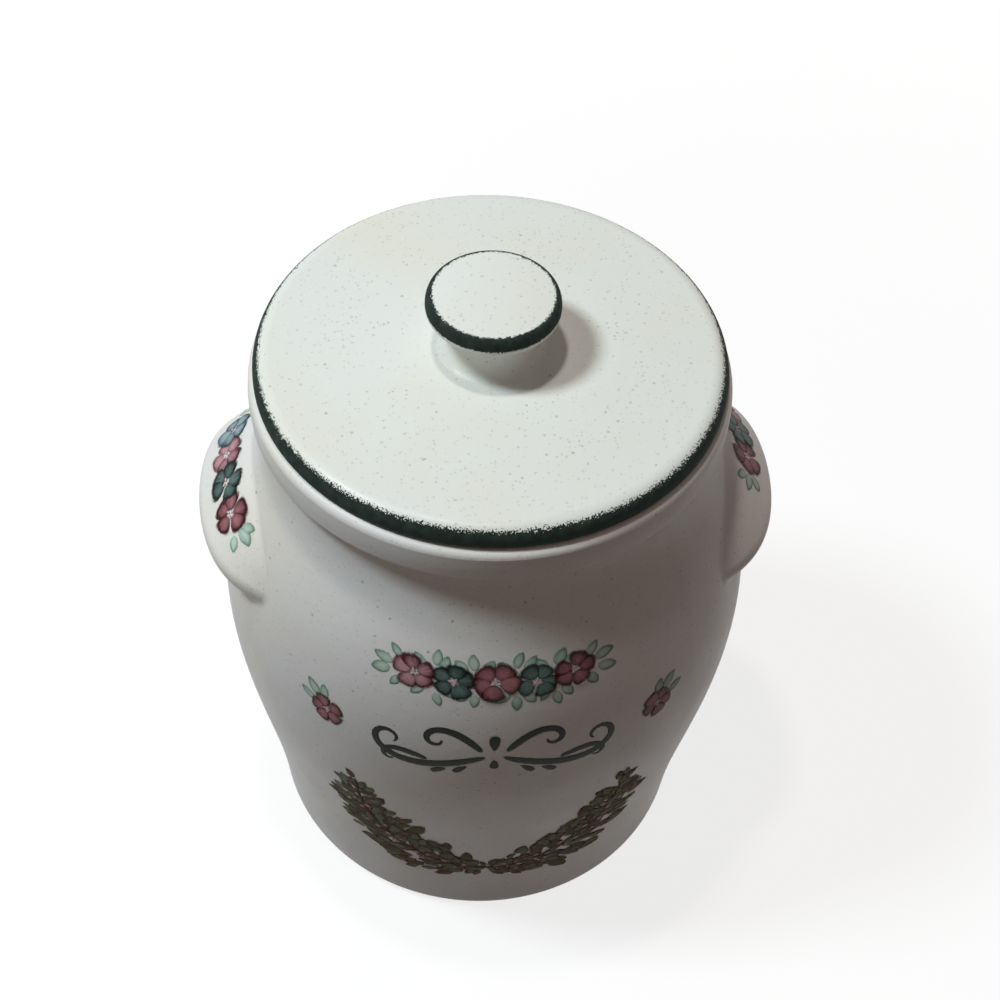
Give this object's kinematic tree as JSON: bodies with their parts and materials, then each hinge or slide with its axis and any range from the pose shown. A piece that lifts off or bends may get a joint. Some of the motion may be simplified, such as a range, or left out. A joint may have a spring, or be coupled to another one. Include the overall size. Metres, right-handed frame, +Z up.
{
  "type": "biscuit jar",
  "caption": "Stoneware biscuit jar with a rolled collar, an ear handle on each side and a drop-in lid with a flat round knob.",
  "frame": {"origin": "centre of the foot ring on the table", "axes": "+Z up along the jar's axis, -Y towards the painted front, +X towards the right ear"},
  "size_m": [0.2012, 0.1884, 0.256],
  "materials": {
    "glazed_stoneware": "satin white glaze with fine grey-brown speckle"
  },
  "bodies": {
    "jar": {"jar_body": "glazed_stoneware", "left_ear": "glazed_stoneware", "right_ear": "glazed_stoneware"},
    "lid_with_knob": {"lid": "glazed_stoneware", "lid_knob": "glazed_stoneware"}
  },
  "joints": [
    {"name": "lid_lift", "type": "slide", "parent": "jar", "child": "lid_with_knob", "axis": [0, 0, 1], "range_m": [0, 0.12]}
  ]
}
